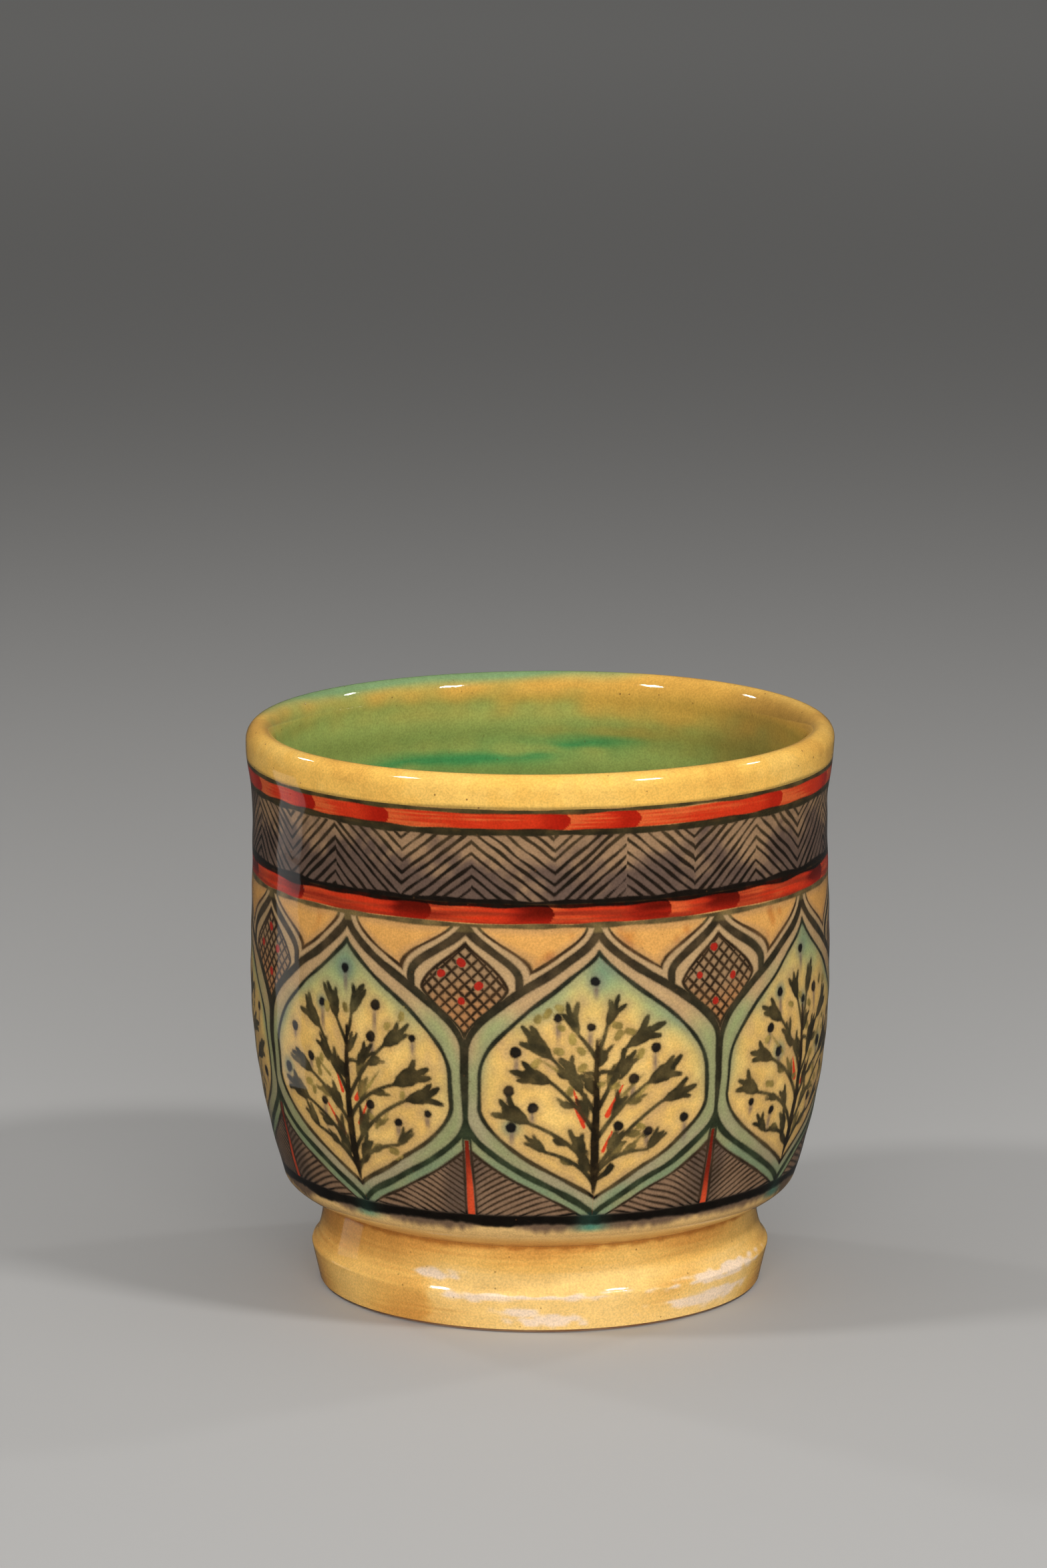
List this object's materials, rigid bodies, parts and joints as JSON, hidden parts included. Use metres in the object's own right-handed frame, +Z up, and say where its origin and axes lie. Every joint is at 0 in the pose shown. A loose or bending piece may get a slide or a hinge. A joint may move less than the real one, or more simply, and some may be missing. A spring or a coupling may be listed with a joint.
{
  "type": "footed drinking cup",
  "caption": "Wheel-thrown handleless earthenware cup on a turned foot, glazed green inside, with a painted herringbone band and an ogee medallion frieze.",
  "frame": {"origin": "centre of the foot's base, on the surface that the cup stands on", "axes": "+Z up along the axis of revolution; -Y is the side that faces the viewer in the picture, +X is the viewer's right"},
  "size_m": [0.09, 0.09, 0.0872],
  "materials": {
    "clay": "bare fired earthenware",
    "green_glaze": "glossy copper-green glaze",
    "honey_glaze": "glossy honey glaze",
    "red_stripe": "brushed red under clear glaze",
    "herringbone": "dark line drawing on a grey-purple wash under clear glaze",
    "frieze": "painted medallions under clear glaze",
    "black_line": "black brushed line under clear glaze",
    "cream_glaze": "glossy clear glaze over cream slip"
  },
  "bodies": {
    "root": {"clay_bowl": "clay", "foot_ring": "clay", "inner_glaze": "green_glaze", "rim_glaze": "honey_glaze", "upper_red_band": "red_stripe", "herringbone_band": "herringbone", "lower_red_band": "red_stripe", "medallion_frieze": "frieze", "base_line_band": "black_line", "waist_glaze": "cream_glaze", "foot_glaze": "honey_glaze"}
  },
  "joints": []
}
